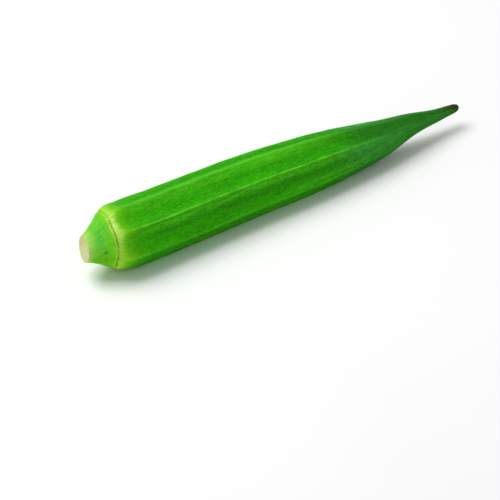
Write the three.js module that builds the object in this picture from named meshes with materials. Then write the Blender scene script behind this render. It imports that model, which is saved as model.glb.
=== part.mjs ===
// An okra pod, as picked, lying on two of its ridges.
//
// Millimetres, +Z up. +X runs along the pod from the cut stalk to the tip, and the origin is under the
// middle of the pod, on the surface that it lies on. The pod grew as one piece, so it is one closed skin:
// a cut stalk stub, the cap that flares from it, the ring scar where the sepals fell off, the ridged body
// and the slender beak.

import * as THREE from 'three';

// ---- Driving dimensions -------------------------------------------------------------------------------

const POD_LENGTH = 140; // cut face to tip
const RIDGE_RADIUS = 11.2; // axis to ridge crest, where the pod is widest
const STALK_RADIUS = 4.4;
const RING_RADIUS = 9.3; // at the scar
const RING_AT = 8; // cut face to scar
const TIP_ROUNDING = 2.2; // length of the blunt, round end of the beak

// Ridge crest radius along the body and the beak, as [share of the length, share of the ridge radius].
const BODY_OUTLINE = [
  [0.068, 0.915],
  [0.08, 0.965],
  [0.1, 0.992],
  [0.13, 1],
  [0.2, 0.99],
  [0.3, 0.98],
  [0.4, 0.96],
  [0.5, 0.925],
  [0.58, 0.875],
  [0.65, 0.795],
  [0.705, 0.7],
  [0.76, 0.6],
  [0.815, 0.468],
  [0.87, 0.33],
  [0.93, 0.206],
  [0.975, 0.15],
  [1, 0.12],
];

// Direction of each ridge round the axis, in degrees: 0 faces -Y, 90 faces up. No two faces are alike.
const RIDGE_ANGLES = [39.5, 83.5, 136.5, 190, 243.3, 296.7, 350];
const RESTING_RIDGE = 4; // this ridge and the next, its mirror image, carry the pod

const FLUTE_HOLLOW = 0.042; // how far the faces dip below flat, as a share of the ridge radius
const FLUTE_HOLLOW_SPREAD = 0.008; // how much that varies from face to face
const CREST_ROUNDING = 0.08; // rounded share of each half face, next to the crest
const CREST_BEAD_HEIGHT = 0.16; // the fine bead that runs along each crest
const CREST_BEAD_SHARE = 0.1; // its half width, as a share of the half face

const SCAR_DEPTH = 0.28;
const SCAR_HALF_WIDTH = 0.35;
const SCAR_WAVE = 0.35; // how far the scar strays along the pod
const SCAR_WAVE_REACH = 2.5;

const LEAN = 0.23; // slope of the cut, 13 degrees off square; the scar leans by about half as much
const LEAN_DIRECTION = 95; // the side on which both lie further along the pod, in degrees round the axis
const LEAN_REACH = 20; // the lean has faded out this far from the cut

const AXIS_DROP = 0.0225; // the axis sinks by this much a millimetre towards the tip

// How far the axis is raised at the base and at the neck, as [millimetres from the cut, millimetres up].
const AXIS_RISE = [
  [0, 1.15],
  [7, 1.45],
  [15, 0.5],
  [30, 0],
  [108, 0],
  [121, 0.75],
  [132, 0],
  [POD_LENGTH, 0],
];

// How far the axis strays sideways, as [millimetres from the cut, millimetres towards +Y].
const AXIS_STRAY = [
  [0, -0.5],
  [53, 0.4],
  [84, -0.5],
  [109, -1.35],
  [POD_LENGTH, -0.5],
];

// ---- Mesh fineness ------------------------------------------------------------------------------------

const STEPS_PER_FACE = 8;
const CREST_BUNCHING = 0.13; // draws the steps of a face towards its two crests
// Stretches of the pod, as [end in millimetres from the cut face, number of steps].
const STRETCHES = [
  [0.35, 1],
  [7.2, 6],
  [9.2, 8],
  [18, 8],
  [99, 18],
  [POD_LENGTH - 6, 12],
  [POD_LENGTH - TIP_ROUNDING, 4],
  [POD_LENGTH, 5],
];

const FULL_TURN = 2 * Math.PI;

// ---- Curves -------------------------------------------------------------------------------------------

/** Rise over run between two stops. */
function steepness(from, to) {
  return (to[1] - from[1]) / (to[0] - from[0]);
}

/** A smooth curve through [position, value] stops that never overshoots them. */
function curveThrough(stops) {
  const last = stops.length - 1;
  const slopes = stops.map((stop, i) => {
    if (i === 0) return steepness(stops[0], stops[1]);
    if (i === last) return steepness(stops[last - 1], stops[last]);
    const before = steepness(stops[i - 1], stop);
    const after = steepness(stop, stops[i + 1]);
    return before * after > 0 ? (2 * before * after) / (before + after) : 0;
  });
  return (position) => {
    if (position <= stops[0][0]) return stops[0][1];
    if (position >= stops[last][0]) return stops[last][1];
    const next = stops.findIndex((stop) => stop[0] > position);
    const [start, startValue] = stops[next - 1];
    const [end, endValue] = stops[next];
    const t = (position - start) / (end - start);
    const run = end - start;
    return (
      startValue * (2 * t ** 3 - 3 * t ** 2 + 1) +
      endValue * (3 * t ** 2 - 2 * t ** 3) +
      slopes[next - 1] * run * (t ** 3 - 2 * t ** 2 + t) +
      slopes[next] * run * (t ** 3 - t ** 2)
    );
  };
}

/** 1 at zero, falling away as a bell of the given half width. */
function bell(distance, halfWidth) {
  return Math.exp(-((distance / halfWidth) ** 2));
}

// ---- The pod's form -----------------------------------------------------------------------------------

// Radius from the cut face to the tip, along the crests. The stalk flares out into the cap with a hollow
// neck, and the cap ends at the scar.
const outline = curveThrough([
  [0, STALK_RADIUS - 0.15],
  [0.35, STALK_RADIUS],
  [1.5, STALK_RADIUS + 0.5],
  [4, STALK_RADIUS + 2],
  [RING_AT, RING_RADIUS],
  ...BODY_OUTLINE.map(([share, radiusShare]) => [share * POD_LENGTH, radiusShare * RIDGE_RADIUS]),
]);

// How strongly the section is ridged: round at the scar and at the tip.
const ridgeStrength = curveThrough([
  [RING_AT + 0.5, 0],
  [RING_AT + 4, 0.45],
  [RING_AT + 10, 1],
  [98, 1],
  [112, 0.8],
  [126, 0.5],
  [POD_LENGTH - 2, 0],
]);

// How strongly the bead stands out on the crests.
const beadStrength = curveThrough([
  [12, 0],
  [20, 1],
  [95, 1],
  [120, 0],
]);

// How far the axis is raised, and how far it strays sideways.
const axisRise = curveThrough(AXIS_RISE);
const axisStray = curveThrough(AXIS_STRAY);

/** The face that an angle falls in: its number, and how far it is from the nearer crest to mid face. */
function faceAt(angle) {
  const first = THREE.MathUtils.degToRad(RIDGE_ANGLES[0]);
  const turned = first + THREE.MathUtils.euclideanModulo(angle - first, FULL_TURN);
  const starts = RIDGE_ANGLES.map((degrees) => THREE.MathUtils.degToRad(degrees));
  const ends = [...starts.slice(1), starts[0] + FULL_TURN];
  const number = Math.max(0, starts.findLastIndex((start) => start <= turned));
  const halfWidth = (ends[number] - starts[number]) / 2;
  const fromCrest = Math.min(turned - starts[number], ends[number] - turned);
  return { number, halfWidth, towardsMiddle: Math.max(0, fromCrest) / halfWidth };
}

/** The share of the way from crest to mid face, eased so that the crest is rounded and not a knife edge. */
function easedFromCrest(share) {
  const whole = Math.hypot(1, CREST_ROUNDING) - CREST_ROUNDING;
  return (Math.hypot(share, CREST_ROUNDING) - CREST_ROUNDING) / whole;
}

/** Radius of the fully ridged section, as a share of the crest radius: flat faces, dipped a little. */
function ridgedSection({ number, halfWidth, towardsMiddle }) {
  const rounded = easedFromCrest(towardsMiddle);
  const flat = Math.cos(halfWidth) / Math.cos(halfWidth * (1 - rounded));
  const hollow = FLUTE_HOLLOW + FLUTE_HOLLOW_SPREAD * Math.sin(2.4 * number);
  return flat - hollow * rounded * (2 - rounded);
}

/** 1 along the pod, falling to 0 at the tip as the arc of an ellipse. */
function tipRounding(along) {
  const intoRounding = Math.max(0, 1 - (POD_LENGTH - along) / TIP_ROUNDING);
  return Math.sqrt(1 - intoRounding ** 2);
}

/** Distance from the axis to the skin. */
function skinRadius(along, angle) {
  const face = faceAt(angle);
  const ridged = 1 - ridgeStrength(along) * (1 - ridgedSection(face));
  const bead = CREST_BEAD_HEIGHT * beadStrength(along) * bell(face.towardsMiddle, CREST_BEAD_SHARE);
  const scar = SCAR_DEPTH * bell(along - RING_AT, SCAR_HALF_WIDTH);
  return (outline(along) * ridged + bead - scar) * tipRounding(along);
}

/** How far a point of the skin is shifted along the pod by the slanting base and the wavy scar. */
function shiftAlong(along, angle, radius) {
  const nearCut = Math.max(0, 1 - along / LEAN_REACH);
  const side = Math.cos(angle - THREE.MathUtils.degToRad(LEAN_DIRECTION));
  const wave = 0.6 * Math.sin(2 * angle + 0.6) + 0.4 * Math.sin(5 * angle);
  return LEAN * radius * side * nearCut + SCAR_WAVE * wave * bell(along - RING_AT, SCAR_WAVE_REACH);
}

/**
 * The axis. It is raised a little at the base and at the neck, and strays sideways. Where the pod is widest,
 * it is just high enough for the resting crests to touch the surface. From there it sinks a little faster
 * than the body tapers at first, so that the surface takes a long, narrow flat from each of those crests.
 */
function axisPoint(along) {
  const widest = BODY_OUTLINE.find(([, radiusShare]) => radiusShare === 1)[0] * POD_LENGTH;
  const restingAngle = THREE.MathUtils.degToRad(RIDGE_ANGLES[RESTING_RIDGE]);
  const heightAtWidest = -RIDGE_RADIUS * Math.sin(restingAngle);
  return new THREE.Vector3(
    along - POD_LENGTH / 2 + (LEAN * STALK_RADIUS) / 2,
    axisStray(along),
    heightAtWidest - AXIS_DROP * (along - widest) + axisRise(along),
  );
}

/** A point of the skin. Nothing reaches below the surface that the pod lies on. */
function skinPoint(along, angle) {
  const radius = skinRadius(along, angle);
  const point = axisPoint(along);
  point.x += shiftAlong(along, angle, radius);
  point.y -= radius * Math.cos(angle);
  point.z += radius * Math.sin(angle);
  point.z = Math.max(0, point.z);
  return point;
}

// ---- Mesh ---------------------------------------------------------------------------------------------

/** Distances from the cut face of the rings of points, close together where the form turns quickly. */
function stations() {
  const list = [0];
  for (const [end, steps] of STRETCHES) {
    const start = list.at(-1);
    for (let step = 1; step <= steps; step++) {
      list.push(start + ((end - start) * step) / steps);
    }
  }
  return list;
}

/** Angles round the axis: one on every crest, and the rest drawn towards the crests. */
function anglesAround() {
  return RIDGE_ANGLES.flatMap((start, i) => {
    const end = RIDGE_ANGLES[i + 1] ?? RIDGE_ANGLES[0] + 360;
    return Array.from({ length: STEPS_PER_FACE }, (_, step) => {
      const even = step / STEPS_PER_FACE;
      const bunched = even - CREST_BUNCHING * Math.sin(FULL_TURN * even);
      return THREE.MathUtils.degToRad(start + (end - start) * bunched);
    });
  });
}

/** The closed skin: rings of points from the cut to the tip, with a fan over the cut and one on the tip. */
function podGeometry() {
  const angles = anglesAround();
  const around = angles.length;
  const rings = stations().slice(0, -1); // the last station is the tip, a single point
  const points = rings.flatMap((along) => angles.map((angle) => skinPoint(along, angle)));
  const cutCentre = points.push(axisPoint(0)) - 1;
  const tip = points.push(axisPoint(POD_LENGTH)) - 1;

  const triangles = [];
  for (let i = 0; i < around; i++) {
    const next = (i + 1) % around;
    triangles.push(cutCentre, i, next);
    for (let ring = 1; ring < rings.length; ring++) {
      const near = (ring - 1) * around;
      const far = ring * around;
      triangles.push(near + i, far + i, near + next);
      triangles.push(near + next, far + i, far + next);
    }
    const lastRing = (rings.length - 1) * around;
    triangles.push(lastRing + i, tip, lastRing + next);
  }

  const geometry = new THREE.BufferGeometry().setFromPoints(points);
  geometry.setIndex(triangles);
  geometry.computeVertexNormals();
  return geometry;
}

const podSkin = new THREE.MeshStandardMaterial({ color: 0x3c9a1c, roughness: 0.5, metalness: 0 });

const pod = new THREE.Mesh(podGeometry(), podSkin);
pod.name = 'okra_pod';

const okra = new THREE.Group();
okra.add(pod);

export default okra;
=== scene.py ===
"""The looks of the okra pod: a finely modelled skin, its down, a pale floor and soft studio light.

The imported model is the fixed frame, in metres. +X runs along the pod from the cut stalk to the tip, +Z is up,
and the pod lies on the floor at z = 0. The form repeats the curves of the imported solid, in millimetres, and
adds the relief and the colouring that are too fine for it.
"""

import math

import bpy
import numpy as np
from mathutils import Matrix, Vector


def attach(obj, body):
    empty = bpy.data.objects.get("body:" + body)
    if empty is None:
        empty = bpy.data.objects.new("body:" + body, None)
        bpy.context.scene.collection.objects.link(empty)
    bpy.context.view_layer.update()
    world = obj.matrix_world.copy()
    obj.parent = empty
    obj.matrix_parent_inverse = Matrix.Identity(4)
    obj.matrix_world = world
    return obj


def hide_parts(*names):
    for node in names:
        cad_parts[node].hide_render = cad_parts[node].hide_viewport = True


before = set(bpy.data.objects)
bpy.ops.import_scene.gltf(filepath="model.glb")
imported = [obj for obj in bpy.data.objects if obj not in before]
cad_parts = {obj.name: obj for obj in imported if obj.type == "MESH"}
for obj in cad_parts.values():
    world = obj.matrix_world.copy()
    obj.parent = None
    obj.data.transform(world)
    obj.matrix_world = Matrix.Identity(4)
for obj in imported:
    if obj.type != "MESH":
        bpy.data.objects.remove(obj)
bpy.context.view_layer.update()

MM = 0.001
FULL_TURN = 2 * math.pi

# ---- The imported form, in millimetres and degrees -------------------------------------------------------

POD_LENGTH = 140  # cut face to tip
RIDGE_RADIUS = 11.2  # axis to ridge crest, where the pod is widest
STALK_RADIUS = 4.4
RING_RADIUS = 9.3  # at the scar
RING_AT = 8  # cut face to scar
TIP_ROUNDING = 2.2  # length of the blunt, round end of the beak

# Ridge crest radius along the body and the beak, as (share of the length, share of the ridge radius).
BODY_OUTLINE = [
    (0.068, 0.915),
    (0.08, 0.965),
    (0.1, 0.992),
    (0.13, 1),
    (0.2, 0.99),
    (0.3, 0.98),
    (0.4, 0.96),
    (0.5, 0.925),
    (0.58, 0.875),
    (0.65, 0.795),
    (0.705, 0.7),
    (0.76, 0.6),
    (0.815, 0.468),
    (0.87, 0.33),
    (0.93, 0.206),
    (0.975, 0.15),
    (1, 0.12),
]
WIDEST_AT = 0.13 * POD_LENGTH

RIDGE_ANGLES = [39.5, 83.5, 136.5, 190, 243.3, 296.7, 350]  # 0 faces -Y, 90 faces up
RESTING_ANGLE = 243.3  # the ridge that, with its mirror image, carries the pod

FLUTE_HOLLOW = 0.042  # how far the faces dip below flat, as a share of the ridge radius
FLUTE_HOLLOW_SPREAD = 0.008  # how much that varies from face to face
SCAR_DEPTH = 0.28
SCAR_HALF_WIDTH = 0.35
SCAR_WAVE = 0.35  # how far the scar strays along the pod
SCAR_WAVE_REACH = 2.5

LEAN = 0.23  # slope of the cut, 13 degrees off square
LEAN_DIRECTION = 95  # the side on which the cut and the scar lie further along the pod
LEAN_REACH = 20  # the lean has faded out this far from the cut

AXIS_DROP = 0.0225  # the axis sinks by this much a millimetre towards the tip
# How far the axis is raised at the base and at the neck, as (millimetres from the cut, millimetres up).
AXIS_RISE = [
    (0, 1.15),
    (7, 1.45),
    (15, 0.5),
    (30, 0),
    (108, 0),
    (121, 0.75),
    (132, 0),
    (POD_LENGTH, 0),
]
# How far the axis strays sideways, as (millimetres from the cut, millimetres towards +Y).
AXIS_STRAY = [
    (0, -0.5),
    (53, 0.4),
    (84, -0.5),
    (109, -1.35),
    (POD_LENGTH, -0.5),
]

# ---- Fine relief, in millimetres -----------------------------------------------------------------------

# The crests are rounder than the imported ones, and their bead is slimmer and lower.
CREST_ROUNDING = 0.16  # rounded share of each half face, next to the crest
CREST_BEAD_HEIGHT = 0.14
CREST_BEAD_SHARE = 0.06  # the bead's half width, as a share of the half face

RIDGE_WANDER = 0.6  # how far a ridge strays sideways, in degrees
UNEVENNESS = 0.09  # height of the broad, shallow lumps
FINE_LINES = 0.022  # height of the lines that run along the skin
SEED_SWELLING = 0.05  # height of the swellings over the seeds
SEED_PITCH = 5.6
SEED_SHIFT = 0.37  # how far the next face's seeds are shifted, as a share of the pitch
CAP_VEINS = 19
CAP_VEIN_HEIGHT = 0.035
CAP_VEINS_AT = 4.5  # where they are highest, from the cut face
CAP_VEINS_REACH = 2.6
SCAR_LIP_HEIGHT = 0.13  # the lip on the cap's side of the scar
SCAR_LIP_OFFSET = 0.42
SCAR_LIP_HALF_WIDTH = 0.22
TIP_WRINKLES = 0.06
TIP_WRINKLES_REACH = 7

# Stubs of sepals on the scar, as (angle in degrees, height, half width).
SEPAL_STUBS = [
    (152, 0.42, 0.8),
    (221, 0.3, 0.6),
    (304, 0.36, 0.7),
]

CUT_DISH = 0.22  # how far the cut face is hollowed
CUT_ROUGHNESS = 0.02
PITH_SHARE = 0.2  # the pith's radius, as a share of the stalk's
PITH_DEPTH = 0.3
VESSEL_RING = 0.66  # where the ring of vessels runs in the cut face, as a share of the way to its edge
VESSEL_RING_WIDTH = 0.09
VESSEL_HEIGHT = 0.06
VESSELS = 23

# ---- Where the colours change, in millimetres and degrees ----------------------------------------------

CREST_PALENESS = [1, 0.05, 0.8, 0.3, 0.7, 0.5, 0.12]  # how sharp and pale each ridge's crest line is
SHOULDER_SHARE = 0.3  # half width of the painted highlight beside a crest, as a share of the half face

BAND_GAP = 0.5  # from the scar's middle to where the pale band beyond it is strongest
BAND_WIDTH = 2.4  # in the middle of a face
BAND_WIDTH_AT_CREST = 4
BAND_HALO = 1.7  # how far its tint reaches back over the scar
BAND_PALEST = (57, 27)  # where the band is palest round the pod, and half width

STUB_COLOUR_HEIGHT = 0.2  # a stub is all brown from this height up
UPPER_SIDE = 80  # the side that faces up, where the cap's painted sky light is strongest
CAP_SPOT = (4.7, 4, 0.42)  # the dark spot's distance from the cut, angle and half width
FLESH_TAN_SIDE = 120  # where the cut face is tan

STREAK_WAVER = 3  # how far a streak strays sideways
STREAK_ONSET = 9  # the way along the pod over which a streak sets in
STREAK_FADING = 22
# Pale and dark streaks along the skin, as (direction, from, to, half width in degrees, paleness). The pale ones
# at 31, 75 and 96 degrees are painted highlight below the front crest and on the upper side, and the dark one
# at 17 degrees is painted shade on the lower face; the rest are the skin's own streaks.
STREAKS_AND_PAINTED_LIGHT = [
    (31, 13, 104, 5, 0.85),
    (17, 15, 98, 7, -0.55),
    (1, 62, 112, 5, 0.5),
    (344, 18, 60, 6, 0.4),
    (56, 22, 112, 8, -0.3),
    (75, 12, 98, 10, 0.6),
    (96, 12, 98, 14, 0.95),
    (118, 15, 100, 7, -0.5),
    (146, 30, 106, 5, 0.6),
    (170, 18, 74, 6, -0.6),
    (201, 20, 92, 5, 0.6),
    (226, 38, 112, 6, -0.5),
    (256, 15, 62, 6, 0.5),
    (279, 48, 108, 6, -0.6),
    (309, 20, 96, 6, 0.6),
]

GRAIN_RADIUS = 10  # the radius at which the skin's grain has its true size

# ---- Mesh fineness -------------------------------------------------------------------------------------

STEPS_PER_FACE = 40
CREST_BUNCHING = 0.07  # draws the steps of a face towards its two crests
# Stretches of the pod, as (end in millimetres from the cut face, number of steps).
STRETCHES = [
    (0.35, 3),
    (7, 28),
    (9.2, 26),
    (18, 30),
    (99, 125),
    (POD_LENGTH - 6, 62),
    (POD_LENGTH - TIP_ROUNDING, 12),
    (POD_LENGTH, 9),
]
CUT_RINGS = 14  # rings of points in the cut face

# ---- Down, in millimetres ------------------------------------------------------------------------------

HAIR_TRIES = 60000  # about a third of these places get a hair
HAIR_FROM_CUT = 1.5
HAIR_FROM_TIP = 3
HAIR_ON_FACES = 0.45  # share of the places on a face that get a hair, where the pod is widest
HAIR_CREST_SHARE = 0.2  # half width of the zone by a crest with more hairs, as a share of the half face
HAIR_LENGTHS = (0.14, 0.32)
HAIR_THICKNESS = 0.022
HAIR_ROOT = 0.03  # how deep the root is sunk
HAIR_LEAN = 0.55  # how far a hair leans towards the tip, as a share of its height
HAIR_SPREAD = 0.3  # how much that varies
HAIR_CLEAR_OF_FLOOR = 0.7

# ---- Camera and light, in metres and degrees -----------------------------------------------------------

CAMERA_AZIMUTH = -23
CAMERA_ELEVATION = 38
CAMERA_ROLL = 8.37
CAMERA_DISTANCE = 0.55
CAMERA_AIM = (-0.01695, -0.00850, -0.00862)
CAMERA_LENS = 121.03

WORLD_STRENGTH = 0.47
KEY_POWER = 8
KEY_SIZE = 0.7
KEY_PLACE = (-0.25, 0.3, 0.92)
FLOOR_SIZE = 12


# ---- Curves and noise ----------------------------------------------------------------------------------

def curve_through(stops):
    """A smooth curve through (position, value) stops that never overshoots them."""
    positions, values = np.array(stops, float).T
    runs = np.diff(positions)
    steepness = np.diff(values) / runs
    before, after = steepness[:-1], steepness[1:]
    same_way = before * after > 0
    total = np.where(same_way, before + after, 1)
    middle = np.where(same_way, 2 * before * after / total, 0)
    slopes = np.concatenate([steepness[:1], middle, steepness[-1:]])

    def value_at(position):
        position = np.clip(position, positions[0], positions[-1])
        start = np.searchsorted(positions, position, side="right") - 1
        start = np.clip(start, 0, len(runs) - 1)
        t = (position - positions[start]) / runs[start]
        return (
            values[start] * (2 * t**3 - 3 * t**2 + 1)
            + values[start + 1] * (3 * t**2 - 2 * t**3)
            + slopes[start] * runs[start] * (t**3 - 2 * t**2 + t)
            + slopes[start + 1] * runs[start] * (t**3 - t**2)
        )

    return value_at


def bell(distance, half_width):
    """1 at zero, falling away as a bell of the given half width."""
    return np.exp(-((distance / half_width) ** 2))


def eased(share):
    """0 to 1 with a soft start and end."""
    share = np.clip(share, 0, 1)
    return share * share * (3 - 2 * share)


def turn_from(direction, angle):
    """How far an angle is turned from a direction in degrees, within half a turn either way."""
    return np.mod(angle - math.radians(direction) + math.pi, FULL_TURN) - math.pi


def patches(along, angle, length, around, seed):
    """Smooth noise from -1 to 1, in patches of a length in millimetres and a whole number round the pod."""
    rows = int(POD_LENGTH / length) + 3
    lattice = np.random.default_rng(seed).uniform(-1, 1, (rows, around))
    down = along / length + 0.5
    across = np.mod(angle / FULL_TURN, 1) * around
    row = np.clip(np.floor(down).astype(int), 0, rows - 2)
    column = np.floor(across).astype(int) % around
    next_column = (column + 1) % around
    s = eased(down - row)
    t = eased(across - np.floor(across))
    near = lattice[row, column] * (1 - t) + lattice[row, next_column] * t
    far = lattice[row + 1, column] * (1 - t) + lattice[row + 1, next_column] * t
    return near * (1 - s) + far * s


# ---- The pod's form ------------------------------------------------------------------------------------

# Radius from the cut face to the tip, along the crests.
outline = curve_through(
    [
        (0, STALK_RADIUS - 0.15),
        (0.35, STALK_RADIUS),
        (1.5, STALK_RADIUS + 0.5),
        (4, STALK_RADIUS + 2),
        (RING_AT, RING_RADIUS),
    ]
    + [(share * POD_LENGTH, radius * RIDGE_RADIUS) for share, radius in BODY_OUTLINE]
)

# How strongly the section is ridged: round at the scar and at the tip.
ridge_strength = curve_through(
    [
        (RING_AT + 0.5, 0),
        (RING_AT + 4, 0.45),
        (RING_AT + 10, 1),
        (98, 1),
        (112, 0.8),
        (126, 0.5),
        (POD_LENGTH - 2, 0),
    ]
)

# How strongly the bead stands out on the crests, and the swellings over the seeds on the faces.
bead_strength = curve_through([(12, 0), (20, 1), (95, 1), (120, 0)])
seed_strength = curve_through([(RING_AT + 1, 0), (20, 1), (98, 1), (126, 0.3), (138, 0)])

# How far the axis is raised, and how far it strays sideways.
axis_rise = curve_through(AXIS_RISE)
axis_stray = curve_through(AXIS_STRAY)


class Faces:
    """The face each angle falls in, how far towards its middle, and how pale the nearest crest is."""

    def __init__(self, angle):
        starts = np.radians(RIDGE_ANGLES)
        ends = np.append(starts[1:], starts[0] + FULL_TURN)
        turned = starts[0] + np.mod(angle - starts[0], FULL_TURN)
        self.number = np.searchsorted(starts, turned, side="right") - 1
        start, end = starts[self.number], ends[self.number]
        self.half_width = (end - start) / 2
        from_crest = np.minimum(turned - start, end - turned)
        self.towards_middle = np.maximum(0, from_crest) / self.half_width
        past_middle = turned - start > end - turned
        nearest_ridge = (self.number + past_middle) % len(RIDGE_ANGLES)
        self.crest_paleness = np.array(CREST_PALENESS)[nearest_ridge]


def ridged_section(faces):
    """Radius of the fully ridged section, as a share of the crest radius: flat faces, dipped a little."""
    whole = math.hypot(1, CREST_ROUNDING) - CREST_ROUNDING
    rounded = (np.hypot(faces.towards_middle, CREST_ROUNDING) - CREST_ROUNDING) / whole
    flat = np.cos(faces.half_width) / np.cos(faces.half_width * (1 - rounded))
    hollow = FLUTE_HOLLOW + FLUTE_HOLLOW_SPREAD * np.sin(2.4 * faces.number)
    return flat - hollow * rounded * (2 - rounded)


def tip_rounding(along):
    """1 along the pod, falling to 0 at the tip as the arc of an ellipse."""
    into_rounding = np.clip(1 - (POD_LENGTH - along) / TIP_ROUNDING, 0, 1)
    return np.sqrt(1 - into_rounding**2)


def scar_thickness(angle):
    """How thick the scar's line is round the pod, from 0, where it breaks off, to 1."""
    coarse = 0.5 * patches(0, angle, 20, 13, seed=21)
    fine = 0.35 * patches(0, angle, 20, 37, seed=22)
    return eased(0.75 + coarse + fine)


def scar_line(along, angle):
    """Strength of the scar, from 0 to 1."""
    half_width = SCAR_HALF_WIDTH * (0.45 + 0.35 * scar_thickness(angle))
    return scar_thickness(angle) * bell(along - RING_AT, half_width)


def sepal_stubs(along, angle):
    """Height of the stubs that are left where sepals broke off."""
    ragged = 1 + 0.5 * patches(along, angle, 0.5, 97, seed=23)
    height = 0
    for direction, rise, half_width in SEPAL_STUBS:
        distance = np.hypot(along - RING_AT + 0.2, turn_from(direction, angle) * RING_RADIUS)
        height = height + rise * bell(distance, half_width) * ragged
    return height


def body_relief(along, angle, faces):
    """Height of the broad lumps, the fine lines and the faint swellings over the seeds."""
    lumps = 0.6 * patches(along, angle, 17, 8, seed=1) + 0.4 * patches(along, angle, 7, 19, seed=2)
    lines = 0.6 * patches(along, angle, 16, 83, seed=3) + 0.4 * patches(along, angle, 5, 131, seed=4)
    beat = np.cos(FULL_TURN * (along / SEED_PITCH + SEED_SHIFT * faces.number))
    seeds = seed_strength(along) * beat * bell(faces.towards_middle - 1, 0.5)
    return UNEVENNESS * lumps + FINE_LINES * lines + SEED_SWELLING * seeds


def cap_relief(along, angle):
    """Height of the cap's veins, and of the scar's lip and stubs."""
    waver = 1.5 * patches(along, angle, 3, 11, seed=5)
    veins = bell(along - CAP_VEINS_AT, CAP_VEINS_REACH) * np.cos(CAP_VEINS * angle + waver)
    at_lip = bell(along - RING_AT + SCAR_LIP_OFFSET, SCAR_LIP_HALF_WIDTH)
    lip = at_lip * (0.6 + 0.6 * patches(0, angle, 20, 31, seed=24))
    return CAP_VEIN_HEIGHT * veins + SCAR_LIP_HEIGHT * lip + sepal_stubs(along, angle)


def tip_relief(along, angle):
    """Height of the wrinkles at the tip."""
    near_tip = bell(along - POD_LENGTH, TIP_WRINKLES_REACH)
    return TIP_WRINKLES * near_tip * patches(along, angle, 1.6, 11, seed=6)


def streaks_and_painted_light(along, angle):
    """Paleness of the streaks along the skin, some of them painted highlight and painted shade, below 0 where
    they are dark.
    """
    paleness = 0
    wavered = angle + math.radians(STREAK_WAVER) * patches(along, angle, 12, 9, seed=9)
    for direction, start, end, half_width, strength in STREAKS_AND_PAINTED_LIGHT:
        ends = eased((along - start) / STREAK_ONSET) * eased((end - along) / STREAK_FADING)
        across = bell(turn_from(direction, wavered), math.radians(half_width))
        paleness = paleness + strength * ends * across
    return paleness


def pale_band(along, angle, faces):
    """Strength of the pale band just beyond the scar, which reaches further at the crests."""
    beyond = along - RING_AT - BAND_GAP
    width = BAND_WIDTH + (BAND_WIDTH_AT_CREST - BAND_WIDTH) * bell(faces.towards_middle, SHOULDER_SHARE)
    width = width * (1 + 0.3 * patches(0, angle, 20, 29, seed=10))
    fading = np.exp(-((np.maximum(0, beyond) / width) ** 1.3))
    return np.where(beyond > 0, fading, bell(beyond, BAND_HALO))


def band_paleness(angle):
    """How pale the band is round the pod, from 0.25 to 1."""
    direction, half_width = BAND_PALEST
    return 0.25 + 0.75 * bell(turn_from(direction, angle), math.radians(half_width))


def cap_spot(along, angle):
    """Strength of the small dark spot on the cap."""
    place, direction, half_width = CAP_SPOT
    distance = np.hypot(along - place, turn_from(direction, angle) * outline(along))
    return 0.8 * bell(distance, half_width)


def wandering_faces(along, angle):
    """The faces, with ridges that stray a little to either side."""
    return Faces(angle + math.radians(RIDGE_WANDER) * patches(along, angle, 31, 7, seed=7))


def skin_radius(along, angle, faces):
    """Distance from the axis to the skin."""
    ridged = 1 - ridge_strength(along) * (1 - ridged_section(faces))
    bead = CREST_BEAD_HEIGHT * bead_strength(along) * bell(faces.towards_middle, CREST_BEAD_SHARE)
    bead = bead * (0.3 + 0.7 * faces.crest_paleness)
    bead = bead * (1 + 0.35 * patches(along, angle, 4, 29, seed=8))
    scar = SCAR_DEPTH * scar_line(along, angle)
    relief = body_relief(along, angle, faces) + cap_relief(along, angle) + tip_relief(along, angle)
    return (outline(along) * ridged + bead - scar + relief) * tip_rounding(along)


def shift_along(along, angle, radius):
    """How far a point of the skin is shifted along the pod by the slanting base and the wavy scar."""
    near_cut = np.maximum(0, 1 - along / LEAN_REACH)
    side = np.cos(angle - math.radians(LEAN_DIRECTION))
    wave = 0.6 * np.sin(2 * angle + 0.6) + 0.4 * np.sin(5 * angle)
    return LEAN * radius * side * near_cut + SCAR_WAVE * wave * bell(along - RING_AT, SCAR_WAVE_REACH)


def axis_points(along):
    """Points of the axis, with the coordinates in the last dimension."""
    along = np.asarray(along, float)
    height_at_widest = -RIDGE_RADIUS * math.sin(math.radians(RESTING_ANGLE))
    return np.stack(
        [
            along - POD_LENGTH / 2 + LEAN * STALK_RADIUS / 2,
            axis_stray(along),
            height_at_widest - AXIS_DROP * (along - WIDEST_AT) + axis_rise(along),
        ],
        axis=-1,
    )


def skin_points(along, angle):
    """Points of the skin, with the coordinates in the last dimension. None is below the floor."""
    along, angle = np.broadcast_arrays(np.asarray(along, float), np.asarray(angle, float))
    radius = skin_radius(along, angle, wandering_faces(along, angle))
    points = axis_points(along)
    points[..., 0] += shift_along(along, angle, radius)
    points[..., 1] -= radius * np.cos(angle)
    points[..., 2] += radius * np.sin(angle)
    points[..., 2] = np.maximum(0, points[..., 2])
    return points


def skin_normals(along, angle):
    """Outward directions of the skin, from its slopes along and round the pod."""
    here = skin_points(along, angle)
    onward = skin_points(along + 0.2, angle) - here
    round_it = skin_points(along, angle + 0.02) - here
    normals = np.cross(onward, round_it)
    return normals / np.linalg.norm(normals, axis=-1, keepdims=True)


# ---- Meshes --------------------------------------------------------------------------------------------

def new_piece(name, points, faces):
    """An object from points in millimetres, linked to the scene."""
    mesh = bpy.data.meshes.new(name)
    mesh.from_pydata((points * MM).tolist(), [], faces)
    mesh.update()
    piece = bpy.data.objects.new(name, mesh)
    bpy.context.scene.collection.objects.link(piece)
    return piece


def keep_values(piece, name, values):
    """Keeps a number for each point of a piece, for its material to read."""
    attribute = piece.data.attributes.new(name, "FLOAT", "POINT")
    attribute.data.foreach_set("value", np.asarray(values, np.float32).ravel())


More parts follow.
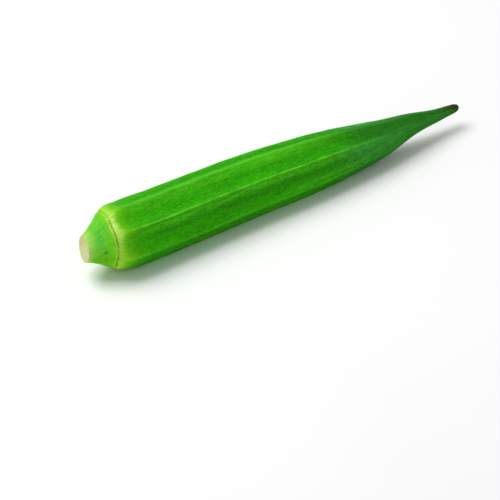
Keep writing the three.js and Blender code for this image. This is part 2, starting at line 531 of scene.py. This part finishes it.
def keep_vectors(piece, name, vectors):
    """Keeps a vector for each point of a piece, for its material to read."""
    attribute = piece.data.attributes.new(name, "FLOAT_VECTOR", "POINT")
    attribute.data.foreach_set("vector", np.asarray(vectors, np.float32).ravel())


def stations():
    """Distances from the cut face of the rings of points, without the tip."""
    places = [0]
    for end, steps in STRETCHES:
        places += list(np.linspace(places[-1], end, steps + 1)[1:])
    return np.array(places[:-1])


def angles_around():
    """Angles round the axis: one on every crest, and the rest drawn towards the crests."""
    starts = np.radians(RIDGE_ANGLES)
    widths = np.diff(np.append(starts, starts[0] + FULL_TURN))
    even = np.arange(STEPS_PER_FACE) / STEPS_PER_FACE
    bunched = even - CREST_BUNCHING * np.sin(FULL_TURN * even)
    return (starts[:, None] + widths[:, None] * bunched).ravel()


def vessels(share, angle):
    """Strength of the ring of vessel ends in the cut face, at a share of the way to its edge."""
    return bell(share - VESSEL_RING, VESSEL_RING_WIDTH) * (0.5 + 0.5 * np.cos(VESSELS * angle))


def cut_points(shares, angles):
    """Points of the cut face, at shares of the way from its middle to its edge."""
    share = shares[:, None]
    rim = skin_points(0, angles)
    middle = axis_points(0)
    points = middle + share[..., None] * (rim - middle)
    rough = patches(40 * share, angles, 3, 24, seed=31) + 0.7 * patches(60 * share, angles, 2, 60, seed=32)
    depth = (
        CUT_DISH * (1 - share**2)
        + PITH_DEPTH * bell(share, PITH_SHARE)
        + CUT_ROUGHNESS * rough * (1 - share**6)
        - VESSEL_HEIGHT * vessels(share, angles)
    )
    points[..., 0] += depth
    return points


def ring_faces(first, second, around):
    """Quads between two rings of points, given the number of each ring's first point."""
    return [
        (first + i, second + i, second + (i + 1) % around, first + (i + 1) % around)
        for i in range(around)
    ]


def skin_faces(rings, around):
    """Faces from the middle of the cut face over all rings of points to the tip."""
    faces = [(0, 1 + i, 1 + (i + 1) % around) for i in range(around)]
    for ring in range(rings - 1):
        faces += ring_faces(1 + ring * around, 1 + (ring + 1) * around, around)
    last = 1 + (rings - 1) * around
    tip = last + around
    faces += [(last + i, tip, last + (i + 1) % around) for i in range(around)]
    return faces


def add_skin():
    """The pod's whole skin, from the middle of the cut face over the rim to the tip, as one closed mesh."""
    angles = angles_around()
    shares = np.arange(1, CUT_RINGS) / CUT_RINGS
    along, angle = np.broadcast_arrays(stations()[:, None], angles[None, :])
    cut_middle = cut_points(np.array([0.0]), angles)[0, :1]
    cut = cut_points(shares, angles)
    skin = skin_points(along, angle)
    tip = axis_points([POD_LENGTH])
    points = np.concatenate([cut_middle, cut.reshape(-1, 3), skin.reshape(-1, 3), tip])

    piece = new_piece("pod_skin", points, skin_faces(len(shares) + len(along), len(angles)))
    keep_skin_values(piece, len(shares), along, angle)
    keep_flesh_values(piece, shares, angles, along.shape)
    piece.data.materials.append(skin_material())
    piece.data.materials.append(flesh_material())
    faces_of_cut = len(angles) * CUT_RINGS
    for polygon in piece.data.polygons:
        polygon.use_smooth = True
        polygon.material_index = 1 if polygon.index < faces_of_cut else 0
    return piece


def whole(on_cut, on_skin, at_tip):
    """Values for all points of the skin mesh: of the cut face, of the rings beyond it and of the tip."""
    return np.concatenate([on_cut, on_skin.ravel(), [at_tip]])


def keep_skin_values(piece, cut_rings, along, angle):
    """What the skin's material reads at each point: crests and the painted highlight beside them, streaks with
    painted light and shade, the band, the scar and so on.
    """
    faces = wandering_faces(along, angle)
    ridged = ridge_strength(along)
    on_cut = np.zeros(1 + cut_rings * along.shape[1])
    values = {
        "crest": bell(faces.towards_middle, CREST_BEAD_SHARE) * ridged * faces.crest_paleness,
        "shoulder_highlight": bell(faces.towards_middle, SHOULDER_SHARE) * ridged,
        "streak_and_painted_light": streaks_and_painted_light(along, angle),
        "band": pale_band(along, angle, faces),
        "band_paleness": band_paleness(angle),
        "scar": scar_thickness(angle),
        "stub": eased(sepal_stubs(along, angle) / STUB_COLOUR_HEIGHT),
        "side": np.cos(angle - math.radians(UPPER_SIDE)),
        "spot": cap_spot(along, angle),
    }
    for name, on_skin in values.items():
        keep_values(piece, name, whole(on_cut, on_skin, 0))
    all_along = whole(on_cut, along, POD_LENGTH)
    keep_values(piece, "along", all_along)

    # Round the pod the grain goes by angle, so that lines run from end to end without spreading.
    around_cut = np.concatenate([[0], np.tile(angle[0], cut_rings)])
    all_angles = whole(around_cut, angle, 0)
    grain = [all_along, GRAIN_RADIUS * np.cos(all_angles), GRAIN_RADIUS * np.sin(all_angles)]
    keep_vectors(piece, "grain", np.stack(grain, axis=-1))


def keep_flesh_values(piece, shares, angles, grid):
    """What the cut face's material reads at each point: the tan side, the vessels and the way to the edge."""
    share = shares[:, None]
    values = {
        "tan_side": (share * np.cos(angles - math.radians(FLESH_TAN_SIDE)), 0),
        "vessel": (vessels(share, angles), 0),
        "cut_share": (share * np.ones(len(angles)), 1),
    }
    for name, (on_rings, elsewhere) in values.items():
        on_cut = np.concatenate([[0], on_rings.ravel()])
        keep_values(piece, name, whole(on_cut, np.full(grid, elsewhere), elsewhere))


def hair_roots(random):
    """Where hairs grow, as distances from the cut, angles and points. There are more on the crests."""
    along = random.uniform(HAIR_FROM_CUT, POD_LENGTH - HAIR_FROM_TIP, HAIR_TRIES)
    angle = random.uniform(0, FULL_TURN, HAIR_TRIES)
    crest = bell(wandering_faces(along, angle).towards_middle, HAIR_CREST_SHARE) * ridge_strength(along)
    wanted = outline(along) / RIDGE_RADIUS * (HAIR_ON_FACES + (1 - HAIR_ON_FACES) * crest)
    roots = skin_points(along, angle)
    grows = (random.uniform(0, 1, HAIR_TRIES) < wanted) & (roots[:, 2] > HAIR_CLEAR_OF_FLOOR)
    return along[grows], angle[grows], roots[grows]


def add_down():
    """Short hairs: slim three-sided spikes that lean towards the tip, with their roots sunk in the skin."""
    random = np.random.default_rng(41)
    along, angle, roots = hair_roots(random)
    count = len(along)
    normals = skin_normals(along, angle)
    onward = np.array([1.0, 0, 0])
    lean = normals + HAIR_LEAN * onward + random.normal(0, HAIR_SPREAD, (count, 3))
    lean /= np.linalg.norm(lean, axis=1, keepdims=True)
    lengths = random.uniform(*HAIR_LENGTHS, count)[:, None]
    across = np.cross(lean, onward)
    across /= np.linalg.norm(across, axis=1, keepdims=True)
    upward = np.cross(lean, across)

    corners = []
    for turn in np.radians([90, 210, 330]):
        outward = math.cos(turn) * across + math.sin(turn) * upward
        corners.append(roots + HAIR_THICKNESS / 2 * outward - HAIR_ROOT * normals)
    corners.append(roots + lean * lengths)
    points = np.stack(corners, axis=1).reshape(-1, 3)

    sides_and_root = np.array([(0, 1, 3), (1, 2, 3), (2, 0, 3), (2, 1, 0)])
    faces = (4 * np.arange(count)[:, None, None] + sides_and_root).reshape(-1, 3).tolist()
    piece = new_piece("pod_down", points, faces)
    keep_values(piece, "tipward", np.tile([0, 0, 0, 1], count))
    piece.data.materials.append(down_material())
    return piece


# ---- Materials -----------------------------------------------------------------------------------------

def tone(red, green, blue):
    """A colour as the shader takes it, from its ordinary screen values."""
    linear = []
    for value in (red, green, blue):
        share = value / 255
        linear.append(share / 12.92 if share <= 0.04045 else ((share + 0.055) / 1.055) ** 2.4)
    return (*linear, 1)


# Colour of the skin, as (millimetres from the cut face, colour). The pale stops at the neck, up to 2.8
# millimetres, are partly painted highlight, and the darkening from 84 to 134 millimetres is partly the beak's
# own tone and partly painted shade.
SKIN_TONES = [
    (0, tone(184, 222, 120)),
    (0.8, tone(154, 220, 88)),
    (2.8, tone(118, 212, 56)),
    (6.5, tone(102, 206, 42)),
    (9, tone(92, 190, 24)),
    (14, tone(64, 175, 12)),
    (20, tone(50, 168, 6)),
    (60, tone(44, 165, 6)),
    (84, tone(42, 158, 10)),
    (92, tone(42, 149, 16)),
    (100, tone(38, 122, 26)),
    (108, tone(36, 116, 28)),
    (134, tone(38, 112, 28)),
    (138, tone(46, 92, 30)),
    (140, tone(46, 58, 28)),
]
# The cap's upper side: a teal tint that is painted sky light, made a little darker as painted shade. Its
# underside: a warmer, yellower tone, which near the stalk is painted shade.
CAP_SKY_LIGHT_TONE = tone(80, 191, 66)
CAP_WARM_AND_SHADE_TONE = tone(104, 190, 18)
BAND_TONE = tone(142, 218, 14)
BAND_PALE_TONE = tone(202, 244, 118)
CREST_TONE = tone(108, 224, 60)
# Painted highlight on the shoulders beside the crests.
SHOULDER_HIGHLIGHT_TONE = tone(66, 180, 18)
# Pale and dark streak colours, which also serve as painted highlight and painted shade.
PALE_STREAK_AND_HIGHLIGHT_TONE = tone(76, 190, 24)
DARK_STREAK_AND_SHADE_TONE = tone(34, 132, 8)
DULL_TONE = tone(44, 122, 12)
SCAR_TONE = tone(112, 116, 10)
STUB_TONE = tone(134, 128, 56)
SPECK_TONE = tone(108, 188, 52)
SPOT_TONE = tone(32, 84, 14)
# A greyer green for the beak's flanks, pale as painted light below the top.
BEAK_FLANK_GREY_AND_LIGHT_TONE = tone(64, 166, 60)
TIP_TONE = tone(52, 50, 30)
FLESH_TONE = tone(218, 222, 158)
FLESH_RIM_TONE = tone(204, 224, 120)
PITH_TONE = tone(196, 188, 124)
VESSEL_TONE = tone(178, 184, 106)
HAIR_ROOT_TONE = tone(56, 160, 14)
HAIR_END_TONE = tone(116, 196, 52)


class Shader:
    """A new material and short ways to add nodes to it."""

    def __init__(self, name):
        self.material = bpy.data.materials.new(name)
        self.material.use_nodes = True
        self.nodes = self.material.node_tree.nodes
        self.surface = self.nodes["Principled BSDF"]

    def feed(self, socket, value):
        """Links an output to a socket, or sets the socket to a plain value."""
        if isinstance(value, bpy.types.NodeSocket):
            self.material.node_tree.links.new(value, socket)
        else:
            socket.default_value = value

    def value(self, name):
        """A number kept on the mesh."""
        node = self.nodes.new("ShaderNodeAttribute")
        node.attribute_name = name
        return node.outputs["Fac"]

    def vector(self, name):
        """A vector kept on the mesh."""
        node = self.nodes.new("ShaderNodeAttribute")
        node.attribute_name = name
        return node.outputs["Vector"]

    def place(self):
        """The place in the scene, in metres."""
        return self.nodes.new("ShaderNodeNewGeometry").outputs["Position"]

    def scaled(self, vector, scale, slant=0):
        """A vector turned about X by a slant in degrees and scaled."""
        mapping = self.nodes.new("ShaderNodeMapping")
        mapping.inputs["Rotation"].default_value = (math.radians(slant), 0, 0)
        mapping.inputs["Scale"].default_value = scale
        self.feed(mapping.inputs["Vector"], vector)
        return mapping.outputs["Vector"]

    def noise(self, place, scale, detail=2.0, roughness=0.5):
        """Noise from 0 to 1, mostly near 0.5."""
        node = self.nodes.new("ShaderNodeTexNoise")
        node.inputs["Scale"].default_value = scale
        node.inputs["Detail"].default_value = detail
        node.inputs["Roughness"].default_value = roughness
        self.feed(node.inputs["Vector"], place)
        return node.outputs["Fac"]

    def fit(self, value, low, high, to_low=0.0, to_high=1.0):
        """Takes low to to_low and high to to_high, and stops there."""
        node = self.nodes.new("ShaderNodeMapRange")
        node.interpolation_type = "SMOOTHSTEP"
        self.feed(node.inputs["Value"], value)
        node.inputs["From Min"].default_value = low
        node.inputs["From Max"].default_value = high
        node.inputs["To Min"].default_value = to_low
        node.inputs["To Max"].default_value = to_high
        return node.outputs["Result"]

    def arithmetic(self, operation, first, second):
        """One step of arithmetic on two numbers."""
        node = self.nodes.new("ShaderNodeMath")
        node.operation = operation
        self.feed(node.inputs[0], first)
        self.feed(node.inputs[1], second)
        return node.outputs["Value"]

    def times(self, first, second):
        """Two numbers multiplied."""
        return self.arithmetic("MULTIPLY", first, second)

    def plus(self, first, second):
        """Two numbers added."""
        return self.arithmetic("ADD", first, second)

    def blend(self, share, first, second, way="MIX"):
        """Two colours mixed."""
        node = self.nodes.new("ShaderNodeMix")
        node.data_type = "RGBA"
        node.blend_type = way
        self.feed(node.inputs["Factor"], share)
        self.feed([s for s in node.inputs if s.name == "A" and s.type == "RGBA"][0], first)
        self.feed([s for s in node.inputs if s.name == "B" and s.type == "RGBA"][0], second)
        return [s for s in node.outputs if s.type == "RGBA"][0]

    def ramp(self, share, stops):
        """Colours by a share from 0 to 1."""
        node = self.nodes.new("ShaderNodeValToRGB")
        elements = node.color_ramp.elements
        while len(elements) < len(stops):
            elements.new(0.5)
        for element, (position, colour) in zip(elements, stops):
            element.position = position
            element.color = colour
        self.feed(node.inputs["Fac"], share)
        return node.outputs["Color"]

    def bump(self, height, depth, under=None):
        """Relief of a depth in millimetres, over an earlier one."""
        node = self.nodes.new("ShaderNodeBump")
        node.inputs["Distance"].default_value = depth * MM
        self.feed(node.inputs["Height"], height)
        if under:
            self.feed(node.inputs["Normal"], under)
        return node.outputs["Normal"]


class Skin(Shader):
    """The green skin, with the noises that its layers of colour share."""

    def __init__(self):
        super().__init__("okra_green_skin")
        self.along = self.value("along")
        self.lines = self.grain(0.14, 2.4, 4)
        self.mottle = self.grain(0.34, 0.6, 4, 0.65)
        self.speckle = self.grain(1.3, 1.8, 3, 0.6)
        self.colour = self.ground_tone()

    def grain(self, along, around, detail, roughness=0.5):
        """Noise with so many patches a millimetre along the pod and around it."""
        return self.noise(self.scaled(self.vector("grain"), (along, around, around)), 1, detail, roughness)

    def layer(self, share, shade):
        """Lays a shade over the colour so far."""
        self.colour = self.blend(share, self.colour, shade)

    def ground_tone(self):
        """The tone by the distance from the cut, wavering a little."""
        wavered = self.plus(self.along, self.fit(self.mottle, 0.3, 0.7, -0.5, 0.5))
        share = self.arithmetic("DIVIDE", wavered, POD_LENGTH)
        return self.ramp(share, [(place / POD_LENGTH, shade) for place, shade in SKIN_TONES])

    def lay_cap(self):
        """A teal tint on the cap's upper side that is painted sky light and shade, and a warmer, yellower
        underside that is painted shade near the stalk, both with soft edges, and one small dark spot.
        """
        blotches = self.fit(self.grain(0.25, 0.16, 2), 0.35, 0.65, -0.3, 0.3)
        side = self.plus(self.value("side"), blotches)
        before_scar = self.fit(self.along, 8.2, 5)
        sky_light = self.times(self.fit(self.along, 1, 4), self.fit(side, 0.35, 1.2, 0, 0.9))
        warm_and_shade = self.times(self.fit(self.along, 0.3, 2), self.fit(side, 0.4, -0.5, 0, 0.85))
        self.layer(self.times(before_scar, sky_light), CAP_SKY_LIGHT_TONE)
        self.layer(self.times(before_scar, warm_and_shade), CAP_WARM_AND_SHADE_TONE)
        self.layer(self.value("spot"), SPOT_TONE)

    def lay_streaks_and_painted_light(self):
        """Pale and dark streaks along the body, some of them painted highlight and painted shade."""
        paleness = self.value("streak_and_painted_light")
        pale = self.times(self.fit(paleness, 0, 0.8, 0, 0.9), self.fit(self.lines, 0.2, 0.6, 0.6, 1))
        dark = self.times(self.fit(paleness, 0, -0.8, 0, 0.9), self.fit(self.mottle, 0.3, 0.6, 0.5, 1))
        self.layer(pale, PALE_STREAK_AND_HIGHLIGHT_TONE)
        self.layer(dark, DARK_STREAK_AND_SHADE_TONE)

    def lay_dull_patches(self):
        """Dull olive patches, in broken lines along the body, fainter on the upper side."""
        patch = self.fit(self.grain(0.5, 1.2, 4, 0.6), 0.48, 0.68, 0, 0.66)
        strength = self.times(self.fit(self.along, 14, 34), self.fit(self.value("side"), 0.8, 0.6, 0.35, 1))
        self.layer(self.times(patch, strength), DULL_TONE)

    def lay_ridges(self):
        """A painted highlight on the shoulders beside the ridges, and a thin pale line on each crest, fading
        towards the beak.
        """
        strength = self.times(self.fit(self.mottle, 0.3, 0.65, 0.5, 1), self.fit(self.along, 80, 110, 1, 0.1))
        self.layer(self.times(self.times(self.value("shoulder_highlight"), strength), 0.35), SHOULDER_HIGHLIGHT_TONE)
        self.layer(self.times(self.value("crest"), strength), CREST_TONE)

    def lay_band(self):
        """The yellow-green band beyond the scar, palest next to the scar and on one side."""
        self.layer(self.times(self.value("band"), 0.95), BAND_TONE)
        core = self.times(self.fit(self.value("band"), 0.35, 1), self.value("band_paleness"))
        self.layer(self.times(core, self.fit(self.mottle, 0.25, 0.65, 0.7, 1)), BAND_PALE_TONE)

    def lay_scar(self):
        """The ragged brown scar and the stubs on it."""
        wavy = self.fit(self.grain(0, 1.3, 3, 0.6), 0.3, 0.7, -0.2, 0.2)
        ragged = self.fit(self.grain(4, 4, 2), 0.3, 0.7, -0.12, 0.12)
        beyond = self.plus(self.plus(self.along, -RING_AT), self.plus(wavy, ragged))
        distance = self.arithmetic("ABSOLUTE", beyond, 0)
        line = self.times(self.fit(distance, 0.07, 0.27, 1, 0), self.value("scar"))
        self.layer(self.times(line, self.fit(self.speckle, 0.3, 0.6, 0.5, 1)), SCAR_TONE)
        self.layer(self.times(self.value("stub"), self.fit(self.speckle, 0.3, 0.6, 0.6, 1)), STUB_TONE)

    def lay_beak(self):
        """A greyer flank on the beak, paler below the top as painted light, and dark mottling at the tip that
        reaches back on top.
        """
        side = self.value("side")
        flank = self.times(self.fit(side, 0.84, 0.72), self.fit(side, -0.2, 0.65, 0.35, 1))
        pale = self.times(self.fit(self.along, 84, 101), self.fit(self.along, 102, 122, 1, 0.6))
        pale = self.times(pale, self.fit(self.mottle, 0.3, 0.7, 0.5, 1))
        self.layer(self.times(flank, pale), BEAK_FLANK_GREY_AND_LIGHT_TONE)
        blotches = self.fit(self.grain(0.45, 0.9, 3), 0.3, 0.7, -4, 4)
        reach = self.plus(self.plus(self.along, blotches), self.times(side, 4))
        self.layer(self.fit(reach, 134, 143, 0, 0.9), TIP_TONE)

    def lay_shades(self):
        """Broad patches, fine lines and specks, light and dark in turn, with fewer lines on the cap."""
        on_body = self.fit(self.along, 9, 24, 0.2, 1)
        shades = self.times(self.fit(self.lines, 0.25, 0.75, -0.13, 0.13), on_body)
        shades = self.plus(shades, self.fit(self.grain(0.06, 0.3, 3), 0.3, 0.7, -0.07, 0.07))
        shades = self.plus(shades, self.fit(self.mottle, 0.3, 0.7, -0.09, 0.09))
        shades = self.plus(shades, self.fit(self.speckle, 0.25, 0.6, -0.18, 0.01))
        self.colour = self.blend(1, self.colour, self.plus(shades, 1), "MULTIPLY")
        specks = self.times(self.fit(self.speckle, 0.45, 0.75, 0, 0.3), self.fit(self.along, 88, 110, 1, 0.5))
        self.layer(specks, SPECK_TONE)


def skin_material():
    """Green skin: paler at the cap and the scar, darker at the beak, partly as painted highlight and painted
    shade, with light crests and fine lines.
    """
    skin = Skin()
    skin.lay_streaks_and_painted_light()
    skin.lay_dull_patches()
    skin.lay_ridges()
    skin.lay_cap()
    skin.lay_band()
    skin.lay_scar()
    skin.lay_beak()
    skin.lay_shades()
    skin.feed(skin.surface.inputs["Base Color"], skin.colour)
    skin.feed(skin.surface.inputs["Roughness"], skin.fit(skin.lines, 0.3, 0.7, 0.42, 0.54))
    skin.surface.inputs["Specular IOR Level"].default_value = 0.015
    line_height = skin.times(skin.lines, skin.fit(skin.along, 6, 16, 0.3, 1))
    skin.feed(skin.surface.inputs["Normal"], skin.bump(skin.speckle, 0.05, skin.bump(line_height, 0.1)))
    return skin.material


def flesh_material():
    """The cut face: pale cream with slanting fibres, a tan side, a ring of vessel ends and a greener rim."""
    shader = Shader("okra_cut_flesh")
    rough = shader.noise(shader.place(), 900, 5, 0.65)
    blotches = shader.noise(shader.place(), 320, 3)
    fibres = shader.noise(shader.scaled(shader.place(), (300, 300, 1600), slant=35), 1, 3)
    tan_side = shader.value("tan_side")
    colour = shader.blend(shader.fit(tan_side, -0.2, 0.9, 0, 0.5), FLESH_TONE, PITH_TONE)
    colour = shader.blend(shader.times(shader.value("vessel"), 0.5), colour, VESSEL_TONE)
    wavered = shader.plus(shader.value("cut_share"), shader.fit(blotches, 0.3, 0.7, -0.06, 0.06))
    rim = shader.times(shader.fit(wavered, 0.8, 0.97), shader.fit(tan_side, 0.3, -0.7, 0.3, 1))
    colour = shader.blend(rim, colour, FLESH_RIM_TONE)
    colour = shader.blend(1, colour, shader.fit(fibres, 0.3, 0.7, 0.86, 1.08), "MULTIPLY")
    colour = shader.blend(1, colour, shader.fit(rough, 0.3, 0.7, 0.9, 1.05), "MULTIPLY")
    shader.feed(shader.surface.inputs["Base Color"], colour)
    shader.feed(shader.surface.inputs["Roughness"], shader.fit(rough, 0.3, 0.7, 0.6, 0.8))
    shader.surface.inputs["Specular IOR Level"].default_value = 0.2
    shader.feed(shader.surface.inputs["Normal"], shader.bump(rough, 0.12, shader.bump(fibres, 0.15)))
    return shader.material


def down_material():
    """Hairs that are green at the root and pale at the end."""
    shader = Shader("okra_down")
    varied = shader.fit(shader.noise(shader.place(), 400, 2), 0.3, 0.7, 0.85, 1.15)
    colour = shader.ramp(shader.value("tipward"), [(0, HAIR_ROOT_TONE), (1, HAIR_END_TONE)])
    colour = shader.blend(1, colour, varied, "MULTIPLY")
    shader.feed(shader.surface.inputs["Base Color"], colour)
    shader.surface.inputs["Roughness"].default_value = 0.8
    shader.surface.inputs["Specular IOR Level"].default_value = 0
    return shader.material


def floor_material():
    """A matt, nearly white floor with very faint mottling."""
    shader = Shader("pale_floor")
    shade = shader.fit(shader.noise(shader.place(), 6, 3), 0.3, 0.7, 0.91, 0.93)
    shader.feed(shader.surface.inputs["Base Color"], shade)
    shader.surface.inputs["Roughness"].default_value = 0.9
    shader.surface.inputs["Specular IOR Level"].default_value = 0.05
    return shader.material


# ---- Stage, light and camera ---------------------------------------------------------------------------

def add_floor():
    """A wide pale floor under the pod."""
    half = FLOOR_SIZE / 2 / MM
    corners = np.array([(-half, -half, 0), (half, -half, 0), (half, half, 0), (-half, half, 0)])
    floor = new_piece("floor", corners, [(0, 1, 2, 3)])
    floor.data.materials.append(floor_material())


def add_light():
    """Soft light from all round, and a broad soft light above the pod."""
    world = bpy.data.worlds.new("soft_white")
    world.use_nodes = True
    background = world.node_tree.nodes["Background"]
    background.inputs["Color"].default_value = (1, 1, 1, 1)
    background.inputs["Strength"].default_value = WORLD_STRENGTH
    bpy.context.scene.world = world

    lamp = bpy.data.lights.new("key", "AREA")
    lamp.energy = KEY_POWER
    lamp.size = KEY_SIZE
    key = bpy.data.objects.new("key", lamp)
    key.location = KEY_PLACE
    key.rotation_euler = Vector(KEY_PLACE).to_track_quat("Z", "Y").to_euler()
    bpy.context.scene.collection.objects.link(key)


def add_camera():
    """The camera, at the photograph's angle and rolled as the photograph is."""
    turn, rise, roll = (math.radians(a) for a in (CAMERA_AZIMUTH, CAMERA_ELEVATION, CAMERA_ROLL))
    back = Vector((math.sin(turn) * math.cos(rise), -math.cos(turn) * math.cos(rise), math.sin(rise)))
    right = Vector((math.cos(turn), math.sin(turn), 0))
    up = back.cross(right)
    rolled_right = right * math.cos(roll) - up * math.sin(roll)
    rolled_up = right * math.sin(roll) + up * math.cos(roll)
    camera = bpy.data.objects.new("camera", bpy.data.cameras.new("camera"))
    camera.data.lens = CAMERA_LENS
    camera.data.clip_start = 0.01
    facing = Matrix((rolled_right, rolled_up, back)).transposed().to_4x4()
    camera.matrix_world = Matrix.Translation(Vector(CAMERA_AIM) + CAMERA_DISTANCE * back) @ facing
    bpy.context.scene.collection.objects.link(camera)
    bpy.context.scene.camera = camera


bpy.context.scene.view_settings.view_transform = "Standard"
add_camera()
add_light()
add_floor()

skin = add_skin()
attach(skin, "root")
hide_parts("okra_pod")

down = add_down()
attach(down, "root")
